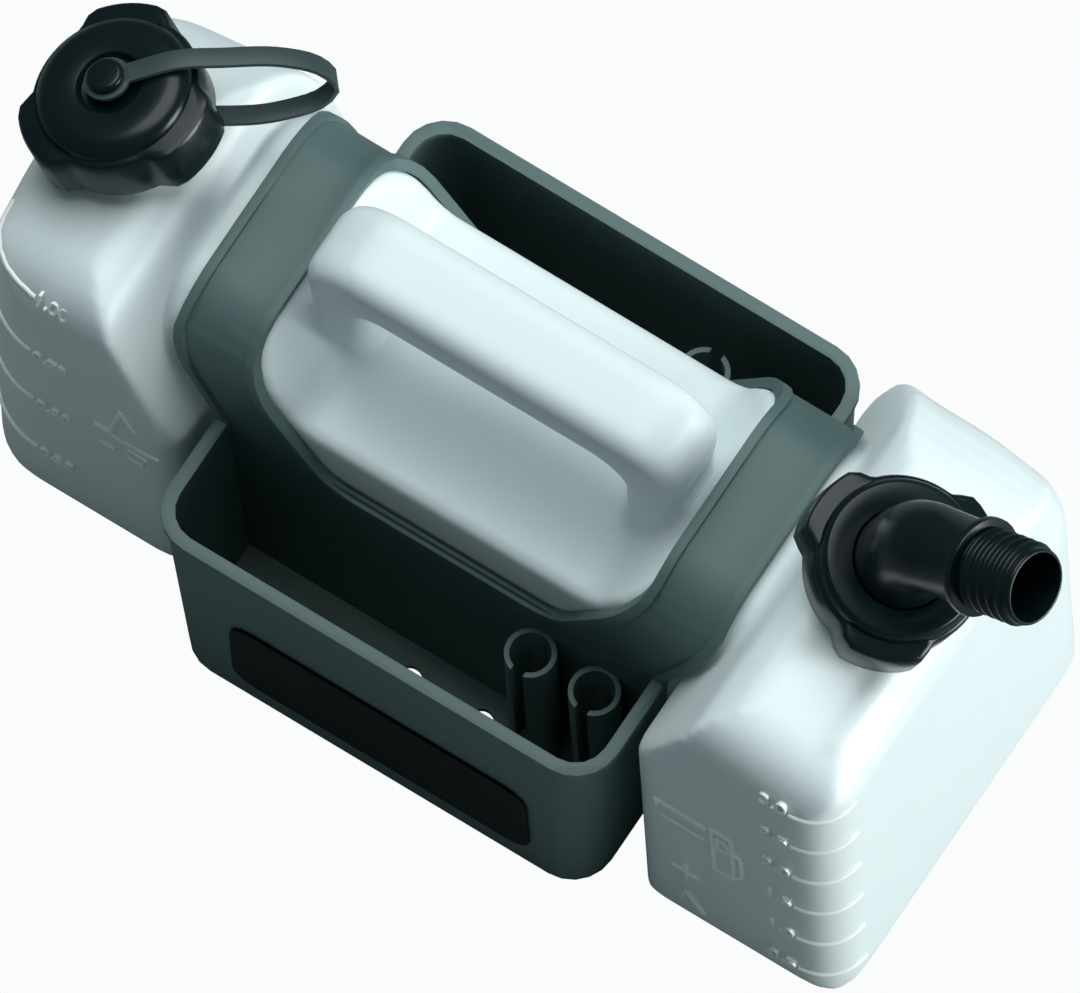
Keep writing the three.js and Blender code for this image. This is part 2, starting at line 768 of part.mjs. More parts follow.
// The spout's middle line: up the neck, round the bend, then out to the mouth.
function spoutStation(distance) {
  const sweep = radians(spoutBend);
  const tangent = spoutBendRadius * Math.tan(sweep / 2);
  const straight = spoutRise - tangent;
  const arc = spoutBendRadius * sweep;
  if (distance <= straight) {
    return { x: 0, z: distance, lean: 0 };
  }
  const lean = Math.min((distance - straight) / spoutBendRadius, sweep);
  const beyond = Math.max(distance - straight - arc, 0);
  return {
    x: spoutBendRadius * (1 - Math.cos(lean)) + beyond * Math.sin(lean),
    z: straight + spoutBendRadius * Math.sin(lean) + beyond * Math.cos(lean),
    lean,
  };
}

function spoutLength() {
  const sweep = radians(spoutBend);
  const tangent = spoutBendRadius * Math.tan(sweep / 2);
  return spoutRise - tangent + spoutBendRadius * sweep + spoutReach - tangent;
}

function spoutTube(stations, segments) {
  return loft(stations.map(([distance, radius]) => {
    const { x, z, lean } = spoutStation(distance);
    const ring = [];
    for (let k = 0; k < segments; k += 1) {
      const angle = (2 * Math.PI * k) / segments;
      const out = radius * Math.cos(angle);
      ring.push(new THREE.Vector3(x + out * Math.cos(lean), radius * Math.sin(angle), z - out * Math.sin(lean)));
    }
    return ring;
  }));
}

function fuelSpout() {
  const foot = sealHigh + sealClear;
  const flangeTop = foot + spoutFlangeThick;
  const baseTop = nutStepTop + spoutBaseHeight;
  const length = spoutLength();
  const threadLength = spoutThreads * spoutThreadPitch;
  const collar = length - threadLength - spoutCollarWidth - 3;
  const tangent = spoutBendRadius * Math.tan(radians(spoutBend) / 2);
  const bendStart = spoutRise - tangent;
  const bendEnd = bendStart + spoutBendRadius * radians(spoutBend);
  const outer = [
    [foot, spoutFlangeRadius],
    [flangeTop, spoutFlangeRadius],
    [flangeTop + 0.01, spoutBaseRadius],
    [baseTop, spoutBaseRadius],
  ];
  const bendSteps = 5;
  for (let k = 0; k <= bendSteps; k += 1) {
    outer.push([bendStart + ((bendEnd - bendStart) * k) / bendSteps, spoutTubeRadius + (bendSteps - k) * 0.25]);
  }
  outer.push([collar, spoutTubeRadius]);
  outer.push([collar + 0.2, spoutCollarRadius]);
  outer.push([collar + spoutCollarWidth, spoutCollarRadius]);
  outer.push([collar + spoutCollarWidth + 0.2, spoutTubeRadius - spoutThreadHeight]);
  for (let k = 0; k < spoutThreads; k += 1) {
    const at = collar + spoutCollarWidth + 0.8 + k * spoutThreadPitch;
    outer.push([at + 0.2, spoutTubeRadius - spoutThreadHeight]);
    outer.push([at + 1.1, spoutTubeRadius]);
    outer.push([at + 1.9, spoutTubeRadius]);
    outer.push([at + 2.8, spoutTubeRadius - spoutThreadHeight]);
  }
  outer.push([length - 0.7, spoutTubeRadius - spoutThreadHeight]);
  outer.push([length, spoutTubeRadius - spoutThreadHeight - 0.6]);
  const bore = [[foot - 1, spoutBore], [bendStart, spoutBore]];
  for (let k = 1; k <= bendSteps; k += 1) {
    bore.push([bendStart + ((bendEnd - bendStart) * k) / bendSteps, spoutBore]);
  }
  bore.push([length + 1, spoutBore]);
  return solidOf(spoutTube(outer, 32)).subtract(solidOf(spoutTube(bore, 24)));
}

const natural = new THREE.MeshStandardMaterial({ color: '#e4edee', roughness: 0.42, metalness: 0 });
const carrierGreen = new THREE.MeshStandardMaterial({ color: '#3b4f4d', roughness: 0.62, metalness: 0 });
const black = new THREE.MeshStandardMaterial({ color: '#121718', roughness: 0.38, metalness: 0 });
const plateBlack = new THREE.MeshStandardMaterial({ color: '#060708', roughness: 0.5, metalness: 0 });
const strapGrey = new THREE.MeshStandardMaterial({ color: '#333f42', roughness: 0.5, metalness: 0 });
const rubber = new THREE.MeshStandardMaterial({ color: '#2a2c2c', roughness: 0.8, metalness: 0 });

const fuelCan = new THREE.Group();
const oilSide = new THREE.Group();
const fuelSide = new THREE.Group();
oilSide.applyMatrix4(oilFrame);
fuelSide.applyMatrix4(fuelFrame);
fuelCan.add(oilSide, fuelSide);

function addPiece(group, name, geometry, material) {
  const mesh = new THREE.Mesh(geometry, material);
  mesh.name = name;
  group.add(mesh);
}

addPiece(fuelCan, 'canister', geometryOf(canister()), natural);
addPiece(fuelCan, 'tool_carrier', geometryOf(toolCarrier()), carrierGreen);
addPiece(fuelCan, 'label_plate', labelPlate(), plateBlack);
addPiece(fuelCan, 'cap_strap', geometryOf(strap()), strapGrey);
addPiece(oilSide, 'oil_cap', geometryOf(oilCap()), black);
addPiece(oilSide, 'oil_cap_seal', cylinder(threadRoom - sealClear, sealLow, sealHigh), rubber);
addPiece(oilSide, 'strap_rivet', rivet(), black);
addPiece(fuelSide, 'spout_nut', geometryOf(spoutNut()), black);
addPiece(fuelSide, 'spout_seal', ringOf(spoutBore + 1, threadRoom - sealClear, sealLow, sealHigh), rubber);
addPiece(fuelSide, 'fuel_spout', geometryOf(fuelSpout()), black);

export default fuelCan;
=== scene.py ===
"""Looks of the combination fuel can as an add-on: an operator for each piece and one for the stage."""

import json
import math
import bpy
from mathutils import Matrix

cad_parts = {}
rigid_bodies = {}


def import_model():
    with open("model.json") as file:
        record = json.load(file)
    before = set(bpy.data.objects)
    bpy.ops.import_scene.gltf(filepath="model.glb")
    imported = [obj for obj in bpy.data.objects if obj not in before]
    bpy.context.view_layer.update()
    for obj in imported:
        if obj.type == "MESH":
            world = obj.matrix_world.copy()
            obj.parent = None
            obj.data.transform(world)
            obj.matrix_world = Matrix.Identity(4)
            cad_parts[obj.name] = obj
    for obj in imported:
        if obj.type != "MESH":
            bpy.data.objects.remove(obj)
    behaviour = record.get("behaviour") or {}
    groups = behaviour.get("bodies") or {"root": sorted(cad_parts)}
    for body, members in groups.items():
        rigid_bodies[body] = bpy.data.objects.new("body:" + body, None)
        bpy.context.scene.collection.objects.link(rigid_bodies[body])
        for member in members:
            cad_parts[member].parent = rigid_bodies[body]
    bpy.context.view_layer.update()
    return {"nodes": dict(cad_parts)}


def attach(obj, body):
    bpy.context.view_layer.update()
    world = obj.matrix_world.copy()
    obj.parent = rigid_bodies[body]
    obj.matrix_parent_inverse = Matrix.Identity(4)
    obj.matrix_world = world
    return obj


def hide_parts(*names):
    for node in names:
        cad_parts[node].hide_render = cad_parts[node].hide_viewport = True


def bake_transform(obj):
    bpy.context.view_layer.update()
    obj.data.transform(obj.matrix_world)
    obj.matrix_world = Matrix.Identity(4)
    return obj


bl_info = {
    "name": "Combination fuel can",
    "version": (1, 0, 0),
    "blender": (4, 2, 0),
    "location": "View3D > Sidebar > Fuel can",
    "description": "Builds the blown canister, its tool carrier, the closures and a pale studio",
    "category": "Object",
}

import bpy
from mathutils import Matrix, Vector

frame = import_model()

MM = 0.001
BODY = "blown_canister"


class CanSettings(bpy.types.PropertyGroup):
    oil_neck: bpy.props.FloatVectorProperty(
        name="Oil neck foot",
        description="Middle of the oil neck's foot, in millimetres",
        default=(-147.0, 0.0, 187.9),
        subtype="XYZ",
    )
    oil_lean: bpy.props.FloatProperty(
        name="Oil neck lean",
        description="Lean of the oil neck about the Y axis, in degrees",
        default=-20.0,
    )
    fuel_neck: bpy.props.FloatVectorProperty(
        name="Fuel neck foot",
        description="Middle of the fuel neck's foot, in millimetres",
        default=(143.0, 0.0, 187.885),
        subtype="XYZ",
    )
    fuel_lean: bpy.props.FloatProperty(
        name="Fuel neck lean",
        description="Lean of the fuel neck about the Y axis, in degrees",
        default=17.0,
    )
    neck_radius: bpy.props.FloatProperty(
        name="Neck radius",
        description="Outer radius of both necks, in millimetres",
        default=20.0,
    )
    neck_bore: bpy.props.FloatProperty(
        name="Neck bore radius",
        description="Radius of the bore through both necks, in millimetres",
        default=17.0,
    )
    neck_height: bpy.props.FloatProperty(
        name="Neck height",
        description="Length of both necks from their foot, in millimetres",
        default=22.0,
    )
    strap_still: bpy.props.FloatProperty(
        name="Strap held by the neck up to",
        description="Length along the oil neck up to which the strap stays still, in millimetres",
        default=11.0,
    )
    strap_riding: bpy.props.FloatProperty(
        name="Strap held by the cap from",
        description="Length along the oil neck from which the strap rides with the cap, in millimetres",
        default=33.0,
    )
    ridge_foot: bpy.props.FloatVectorProperty(
        name="Fuel ridge place",
        description="Where the rounded ridge along the fuel tank's top is set, in millimetres",
        default=(160.0, 0.0, 179.2),
        subtype="XYZ",
    )
    ridge_radius: bpy.props.FloatProperty(
        name="Fuel ridge radius",
        description="Radius of the rounded ridge along the fuel tank's top, in millimetres",
        default=5.0,
    )
    voxel: bpy.props.FloatProperty(
        name="Remesh size",
        description="Voxel size of the canister's remesh, in millimetres",
        default=1.9,
    )
    soften: bpy.props.IntProperty(
        name="Softening passes",
        description="How many times the canister's surface is smoothed",
        default=9,
    )
    fuel_front: bpy.props.FloatProperty(
        name="Fuel tank front face",
        description="Y of the fuel tank's front wall, in millimetres",
        default=-80.0,
    )
    fuel_side: bpy.props.FloatProperty(
        name="Fuel tank outer face",
        description="X of the fuel tank's outer wall, in millimetres",
        default=173.0,
    )
    fuel_corner: bpy.props.FloatProperty(
        name="Fuel tank corner radius",
        description="Radius of the fuel tank's front corner, in millimetres",
        default=16.0,
    )
    oil_front: bpy.props.FloatProperty(
        name="Oil tank front face",
        description="Y of the oil tank's front wall, in millimetres",
        default=-67.0,
    )
    oil_side: bpy.props.FloatProperty(
        name="Oil tank outer face",
        description="X of the oil tank's outer wall, in millimetres",
        default=-176.0,
    )
    oil_corner: bpy.props.FloatProperty(
        name="Oil tank corner radius",
        description="Radius of the oil tank's front corner, in millimetres",
        default=28.0,
    )
    mark_rib: bpy.props.FloatProperty(
        name="Mark half thickness",
        description="Half the thickness of a level mark, in millimetres",
        default=1.0,
    )
    fuel_marks_low: bpy.props.FloatProperty(
        name="Lowest fuel mark",
        description="Height of the lowest fuel mark, in millimetres",
        default=18.0,
    )
    fuel_mark_pitch: bpy.props.FloatProperty(
        name="Fuel mark pitch",
        description="Height from one fuel mark to the next, in millimetres",
        default=29.2,
    )
    oil_marks_low: bpy.props.FloatProperty(
        name="Lowest oil mark",
        description="Height of the lowest oil mark, in millimetres",
        default=40.0,
    )
    oil_mark_pitch: bpy.props.FloatProperty(
        name="Oil mark pitch",
        description="Height from one oil mark to the next, in millimetres",
        default=46.0,
    )


class LookSettings(bpy.types.PropertyGroup):
    milky: bpy.props.FloatVectorProperty(
        name="Canister",
        description="Base colour of the blown canister",
        default=(0.78, 0.86, 0.87),
        subtype="COLOR",
    )
    carrier: bpy.props.FloatVectorProperty(
        name="Carrier",
        description="Base colour of the tool carrier",
        default=(0.085, 0.140, 0.138),
        subtype="COLOR",
    )
    black: bpy.props.FloatVectorProperty(
        name="Closures",
        description="Base colour of the cap, the nut, the spout and the rivet",
        default=(0.002, 0.008, 0.010),
        subtype="COLOR",
    )
    strap: bpy.props.FloatVectorProperty(
        name="Strap",
        description="Base colour of the cap's strap",
        default=(0.030, 0.052, 0.056),
        subtype="COLOR",
    )
    label: bpy.props.FloatVectorProperty(
        name="Label",
        description="Base colour of the bare label plate",
        default=(0.001, 0.0025, 0.003),
        subtype="COLOR",
    )
    rubber: bpy.props.FloatVectorProperty(
        name="Seals",
        description="Base colour of the two seals",
        default=(0.02, 0.02, 0.02),
        subtype="COLOR",
    )
    floor: bpy.props.FloatVectorProperty(
        name="Floor",
        description="Colour of the floor as the camera sees it",
        default=(0.96, 0.97, 0.97),
        subtype="COLOR",
    )


class StageSettings(bpy.types.PropertyGroup):
    azimuth: bpy.props.FloatProperty(
        name="Camera azimuth",
        description="Turn of the camera from the front towards the fuel tank, in degrees",
        default=36.8,
    )
    elevation: bpy.props.FloatProperty(
        name="Camera elevation",
        description="Angle from which the camera looks down, in degrees",
        default=70.0,
    )
    roll: bpy.props.FloatProperty(
        name="Camera roll",
        description="Turn of the camera about its own line of sight, in degrees",
        default=4.2,
    )
    field: bpy.props.FloatProperty(
        name="Picture width in metres",
        description="Width that the picture covers",
        default=0.3541,
        unit="LENGTH",
    )
    shift_right: bpy.props.FloatProperty(
        name="Centre right of the origin",
        description="How far the picture's centre lies right of the origin",
        default=0.00303,
        unit="LENGTH",
    )
    shift_up: bpy.props.FloatProperty(
        name="Centre above the origin",
        description="How far the picture's centre lies above the origin",
        default=0.0182,
        unit="LENGTH",
    )
    top_light: bpy.props.FloatProperty(
        name="Top light watts",
        description="Power of the light overhead",
        default=21.0,
        unit="POWER",
    )
    side_light: bpy.props.FloatProperty(
        name="Side light watts",
        description="Power of the light on the fuel side",
        default=33.0,
        unit="POWER",
    )
    ambient: bpy.props.FloatProperty(
        name="Ambient strength",
        description="Strength of the world light",
        default=0.155,
    )
    top_place: bpy.props.FloatVectorProperty(
        name="Top light place",
        description="Where the light overhead hangs",
        default=(-0.25, 0.5, 1.6),
        subtype="TRANSLATION",
    )
    side_place: bpy.props.FloatVectorProperty(
        name="Side light place",
        description="Where the light on the fuel side hangs",
        default=(1.8, 0.4, 0.5),
        subtype="TRANSLATION",
    )
    sky: bpy.props.FloatVectorProperty(
        name="Ambient colour",
        description="Colour of the world light",
        default=(0.78, 0.95, 1.0),
        subtype="COLOR",
    )
    bounce: bpy.props.FloatVectorProperty(
        name="Floor bounce",
        description="Colour of the floor as the can sees it",
        default=(0.25, 0.29, 0.29),
        subtype="COLOR",
    )
    floor_size: bpy.props.FloatProperty(
        name="Floor width in metres",
        description="Width of the floor",
        default=12.0,
        unit="LENGTH",
    )
    floor_drop: bpy.props.FloatProperty(
        name="Floor below the base",
        description="How far the floor lies below the base",
        default=0.0005,
        unit="LENGTH",
    )
    distance: bpy.props.FloatProperty(
        name="Camera distance in metres",
        description="How far the camera stands from the picture's centre",
        default=2.0,
        unit="LENGTH",
    )


def picked(obj):
    """Makes one object the selected and active one, in object mode."""
    if bpy.context.mode != "OBJECT":
        bpy.ops.object.mode_set(mode="OBJECT")
    bpy.ops.object.select_all(action="DESELECT")
    obj.select_set(True)
    bpy.context.view_layer.objects.active = obj
    return obj


def copy_of(node, name):
    """A separate copy of one frame node, free of its parent."""
    picked(frame["nodes"][node])
    bpy.ops.object.duplicate()
    obj = bpy.context.view_layer.objects.active
    bpy.ops.object.parent_clear(type="CLEAR_KEEP_TRANSFORM")
    obj.name = name
    bpy.ops.object.transform_apply(location=True, rotation=True, scale=True)
    obj.data.materials.clear()
    bpy.ops.object.mode_set(mode="EDIT")
    bpy.ops.mesh.select_all(action="SELECT")
    bpy.ops.mesh.remove_doubles(threshold=0.00001)
    bpy.ops.mesh.normals_make_consistent(inside=False)
    bpy.ops.object.mode_set(mode="OBJECT")
    if obj.data.has_custom_normals:
        bpy.ops.mesh.customdata_custom_splitnormals_clear()
    return obj


def modified(obj, kind, **settings):
    """Adds a modifier with its settings and applies it."""
    picked(obj)
    modifier = obj.modifiers.new(kind.title(), kind)
    for key, value in settings.items():
        setattr(modifier, key, value)
    bpy.ops.object.modifier_apply(modifier=modifier.name)
    return obj


def bevelled(obj, width, angle=42.0):
    """Rounds the edges that are sharper than an angle."""
    edges = {"limit_method": "ANGLE", "angle_limit": math.radians(angle)}
    return modified(obj, "BEVEL", width=width * MM, segments=2, **edges)


def smooth(obj, angle=35.0):
    """Shades smoothly, apart from edges sharper than an angle."""
    picked(obj)
    bpy.ops.object.shade_smooth_by_angle(angle=math.radians(angle))


def placed(obj, matrix):
    """Moves an object by a matrix and settles it at the origin."""
    picked(obj)
    obj.matrix_world = matrix @ obj.matrix_world
    bpy.ops.object.transform_apply(location=True, rotation=True, scale=True)
    return obj


def pushed(obj, spot, move, reach):
    """Pushes the wall round a spot and lets the push fade out over a reach."""
    aim = Vector(spot) * MM
    picked(obj)
    bpy.ops.object.mode_set(mode="EDIT")
    bpy.ops.mesh.select_all(action="DESELECT")
    bpy.ops.object.mode_set(mode="OBJECT")
    min(obj.data.vertices, key=lambda v: (v.co - aim).length).select = True
    bpy.ops.object.mode_set(mode="EDIT")
    bpy.ops.transform.translate(
        value=Vector(move) * MM,
        use_proportional_edit=True,
        proportional_edit_falloff="SMOOTH",
        proportional_size=reach * MM,
    )
    bpy.ops.object.mode_set(mode="OBJECT")


def merged(first, others):
    """Joins other objects into the first one."""
    picked(first)
    for other in others:
        other.select_set(True)
    bpy.ops.object.join()
    return first


def neck_frame(foot, lean):
    """The placement of one neck: its foot and its lean about the Y axis."""
    turn = Matrix.Rotation(math.radians(lean), 4, "Y")
    return Matrix.Translation(Vector(foot) * MM) @ turn


def frames():
    """The placements of the oil neck and the fuel neck."""
    can = bpy.context.scene.can_sizes
    return neck_frame(can.oil_neck, can.oil_lean), neck_frame(can.fuel_neck, can.fuel_lean)


def rod(name, radius, low, high, vertices=64):
    """An upright cylinder between two heights."""
    bpy.ops.mesh.primitive_cylinder_add(
        vertices=vertices,
        radius=radius * MM,
        depth=(high - low) * MM,
        location=(0, 0, (high + low) / 2 * MM),
    )
    obj = bpy.context.view_layer.objects.active
    obj.name = name
    bpy.ops.object.transform_apply(location=True, rotation=True, scale=True)
    return obj


def group_of(name, outputs, inputs=()):
    """A new shader node group with float inputs and the named outputs."""
    group = bpy.data.node_groups.new(name, "ShaderNodeTree")
    for label, default in inputs:
        socket = group.interface.new_socket(label, in_out="INPUT", socket_type="NodeSocketFloat")
        socket.default_value = default
    for label, kind in outputs:
        group.interface.new_socket(label, in_out="OUTPUT", socket_type=kind)
    start = group.nodes.new("NodeGroupInput")
    end = group.nodes.new("NodeGroupOutput")
    return group, start, end


def grain_group():
    """Fine moulded grain as a normal, with its scale, depth and a slow waviness."""
    if "Moulded grain" in bpy.data.node_groups:
        return bpy.data.node_groups["Moulded grain"]
    inputs = (("Grain scale", 900.0), ("Grain depth", 0.1), ("Wave scale", 18.0), ("Wave depth", 0.1))
    group, start, end = group_of("Moulded grain", (("Normal", "NodeSocketVector"),), inputs)
    nodes, links = group.nodes, group.links
    coordinates = nodes.new("ShaderNodeTexCoord")
    fine = nodes.new("ShaderNodeTexNoise")
    fine.inputs["Detail"].default_value = 2.0
    wave = nodes.new("ShaderNodeTexNoise")
    wave.inputs["Detail"].default_value = 1.0
    first = nodes.new("ShaderNodeBump")
    first.inputs["Distance"].default_value = 0.0002
    second = nodes.new("ShaderNodeBump")
    second.inputs["Distance"].default_value = 0.002
    links.new(coordinates.outputs["Object"], fine.inputs["Vector"])
    links.new(coordinates.outputs["Object"], wave.inputs["Vector"])
    links.new(start.outputs["Grain scale"], fine.inputs["Scale"])
    links.new(start.outputs["Wave scale"], wave.inputs["Scale"])
    links.new(start.outputs["Wave depth"], second.inputs["Strength"])
    links.new(start.outputs["Grain depth"], first.inputs["Strength"])
    links.new(wave.outputs["Fac"], second.inputs["Height"])
    links.new(fine.outputs["Fac"], first.inputs["Height"])
    links.new(second.outputs["Normal"], first.inputs["Normal"])
    links.new(first.outputs["Normal"], end.inputs["Normal"])
    return group


def plastic(name, color, roughness, grain=(900.0, 0.1, 18.0, 0.0), sheen=0.5, scatter=0.0):
    """One plastic: base colour, gloss, grain and an optional milky depth."""
    if name in bpy.data.materials:
        return bpy.data.materials[name]
    material = bpy.data.materials.new(name)
    material.use_nodes = True
    nodes, links = material.node_tree.nodes, material.node_tree.links
    shader = nodes["Principled BSDF"]
    shader.inputs["Base Color"].default_value = (*color, 1.0)
    shader.inputs["Roughness"].default_value = roughness
    shader.inputs["Specular IOR Level"].default_value = sheen
    if scatter:
        shader.inputs["Subsurface Weight"].default_value = scatter
        shader.inputs["Subsurface Radius"].default_value = (0.9, 1.0, 1.0)
        shader.inputs["Subsurface Scale"].default_value = 0.006
    bumps = nodes.new("ShaderNodeGroup")
    bumps.node_tree = grain_group()
    for label, value in zip(("Grain scale", "Grain depth", "Wave scale", "Wave depth"), grain):
        bumps.inputs[label].default_value = value
    links.new(bumps.outputs["Normal"], shader.inputs["Normal"])
    return material


def milky():
    """The blown canister's cloudy plastic."""
    look = bpy.context.scene.can_looks
    return plastic("Milky plastic", look.milky, 0.38, (700.0, 0.06, 14.0, 0.12), 0.45, 0.35)


def painted_highlight_plastic():
    """The marks are the canister's own plastic, coloured white as painted highlight for the light they
    catch where they stand proud of the soft walls.
    """
    return plastic("Painted highlight plastic", (1.0, 1.0, 1.0), 0.25, (700.0, 0.02, 14.0, 0.0), 0.8, 0.0)


def carrier_plastic():
    look = bpy.context.scene.can_looks
    return plastic("Carrier plastic", look.carrier, 0.5, (1500.0, 0.35, 20.0, 0.0), 0.45)


def black_plastic():
    look = bpy.context.scene.can_looks
    return plastic("Black plastic", look.black, 0.26, (1200.0, 0.05, 20.0, 0.0), 0.32)


def strap_plastic():
    look = bpy.context.scene.can_looks
    return plastic("Strap plastic", look.strap, 0.5, (1300.0, 0.2, 20.0, 0.0), 0.5)


def label_film():
    look = bpy.context.scene.can_looks
    return plastic("Label film", look.label, 0.5, (900.0, 0.02, 20.0, 0.0), 0.1)


def seal_rubber():
    look = bpy.context.scene.can_looks
    return plastic("Seal rubber", look.rubber, 0.8, (900.0, 0.1, 20.0, 0.0), 0.3)


def dressed(obj, material, body, slot, *nodes):
    """Gives a piece its material and body and hides the frame nodes it stands for; the slot is not used.
    """
    obj.data.materials.clear()
    obj.data.materials.append(material)
    if body:
        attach(obj, body)
    if nodes:
        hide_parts(*nodes)


def front_at(x, z):
    """Where the canister's front wall stands at a point given as x and z."""
    body = bpy.data.objects[BODY]
    hit, spot, _, _ = body.ray_cast(Vector((x * MM, -0.2, z * MM)), Vector((0, 1, 0)))
    if not hit:
        raise RuntimeError(f"no canister wall at x {x}, z {z}")
    return spot.y / MM


def corner_rib(name, centre, radius, turn, z):
    """A raised level mark that runs round a front corner of a tank and lies on its wall."""
    bpy.ops.mesh.primitive_circle_add(vertices=96, radius=(radius + 0.15) * MM)
    ring = bpy.context.view_layer.objects.active
    ring.name = name
    bpy.ops.object.mode_set(mode="EDIT")
    for normal in ((0.0, 1.0, 0.0), (-turn, 0.0, 0.0)):
        bpy.ops.mesh.select_all(action="SELECT")
        bpy.ops.mesh.bisect(plane_co=(0, 0, 0), plane_no=normal, clear_outer=True)
    bpy.ops.object.mode_set(mode="OBJECT")
    placed(ring, Matrix.Translation(Vector((centre[0], centre[1], z)) * MM))
    modified(ring, "SHRINKWRAP", target=bpy.data.objects[BODY], wrap_method="NEAREST_SURFACEPOINT")
    bpy.ops.object.convert(target="CURVE")
    ring.data.bevel_depth = bpy.context.scene.can_sizes.mark_rib * MM
    ring.data.bevel_resolution = 3
    ring.data.use_fill_caps = True
    bpy.ops.object.convert(target="MESH")
    return bpy.context.view_layer.objects.active


def raised_text(words, x, z, size, side):
    """Raised figures on a front face, set from their left or right end."""
    middle = x + (7.0 if side == "LEFT" else -7.0)
    low, high = front_at(middle, z - 3.0), front_at(middle, z + 3.0)
    lean = math.atan2(high - low, 6.0)
    bpy.ops.object.text_add(location=(0, 0, 0))
    text = bpy.context.view_layer.objects.active
    text.data.body = words
    text.data.size = size * MM
    text.data.extrude = 1.15 * MM
    text.data.bevel_depth = 0.15 * MM
    text.data.align_x = side
    text.data.align_y = "CENTER"
    bpy.ops.object.convert(target="MESH")
    obj = bpy.context.view_layer.objects.active
    placed(obj, Matrix.Rotation(math.radians(90) - lean, 4, "X"))
    return placed(obj, Matrix.Translation(Vector((x, (low + high) / 2, z)) * MM))


def stroke(points, half=1.1):
    """A raised line on a front face through points given as x and z."""
    parts = []
    for first, last in zip(points, points[1:]):
        start = Vector((first[0], front_at(*first), first[1]))
        run = Vector((last[0], front_at(*last), last[1])) - start
        bar = rod("stroke", half, 0, run.length, 8)
        turn = run.to_track_quat("Z", "Y").to_matrix().to_4x4()
        placed(bar, Matrix.Translation(start * MM) @ turn)
        parts.append(bar)
    return merged(parts[0], parts[1:]) if len(parts) > 1 else parts[0]


# Where the blown walls are rounder than the plain solid: the spot, its push and its reach
ROUNDED = (
    ((123.0, 72.0, 190.0), (0.0, -7.0, -3.0), 46.0),
    ((168.0, 68.0, 172.0), (-3.0, -5.0, -3.0), 44.0),
    ((-170.0, -56.0, 160.0), (3.0, 2.4, 0.0), 42.0),
)
FUEL_SIGN = (
    ((103.5, 103.0), (123.5, 103.0)),
    ((105.5, 92.0), (123.0, 92.0)),
    ((103.5, 103.0), (103.5, 98.0)),
    ((125.3, 105.5), (125.3, 69.0), (133.0, 69.0), (133.0, 105.5), (125.3, 105.5)),
    ((127.0, 100.0), (131.5, 100.0), (131.5, 91.0), (127.0, 91.0), (127.0, 100.0)),
    ((133.0, 96.0), (136.5, 92.0), (136.5, 74.0), (134.5, 72.0)),
    ((108.5, 48.5), (119.5, 48.5)),
    ((114.0, 55.0), (114.0, 42.0)),
    ((111.0, 20.0), (113.6, 29.0), (120.0, 16.0)),
)
OIL_SIGN = (
    ((-124.0, 99.0), (-118.0, 99.0), (-113.5, 97.0), (-99.0, 97.0)),
    ((-113.0, 124.0), (-108.0, 113.0)),
    ((-118.0, 99.0), (-113.0, 124.0)),
    ((-111.0, 92.5), (-103.0, 92.5)),
    ((-122.0, 85.0), (-116.0, 85.0)),
    ((-111.0, 85.0), (-105.0, 85.0)),
)


class FUELCAN_OT_canister(bpy.types.Operator):
    """Builds the blown canister with soft edges and open necks"""

    bl_idname = "fuelcan.canister"
    bl_label = "Build canister"

    def execute(self, context):
        can = context.scene.can_sizes
        body = copy_of("canister", BODY)
        plugs = []
        for frame_matrix in frames():
            plug = rod("plug", can.neck_radius - 1.0, -14.0, can.neck_height - 0.4)
            plugs.append(placed(plug, frame_matrix))
        ridge = rod("ridge", can.ridge_radius, -58.0, 30.0, 24)
        placed(ridge, Matrix.Rotation(math.radians(-90), 4, "X"))
        plugs.append(placed(ridge, Matrix.Translation(Vector(can.ridge_foot) * MM)))
        merged(body, plugs)
        modified(body, "REMESH", mode="VOXEL", voxel_size=can.voxel * MM)
        picked(body)
        bpy.ops.object.mode_set(mode="EDIT")
        bpy.ops.mesh.select_all(action="DESELECT")
        bpy.ops.object.mode_set(mode="OBJECT")
        outermost = max(body.data.vertices, key=lambda v: v.co.x)
        outermost.select = True
        bpy.ops.object.mode_set(mode="EDIT")
        bpy.ops.mesh.select_linked()
        bpy.ops.mesh.select_all(action="INVERT")
        bpy.ops.mesh.delete(type="VERT")
        bpy.ops.object.mode_set(mode="OBJECT")
        for spot, move, reach in ROUNDED:
            pushed(body, spot, move, reach)
        modified(body, "SMOOTH", factor=0.5, iterations=can.soften)
        for frame_matrix in frames():
            drill = placed(rod("drill", can.neck_bore, -30.0, can.neck_height + 4.0), frame_matrix)
            modified(body, "BOOLEAN", operation="DIFFERENCE", solver="FAST", object=drill)
            bpy.data.objects.remove(drill)
        smooth(body, 40.0)
        dressed(body, milky(), "can", "natural_plastic", "canister")
        return {"FINISHED"}


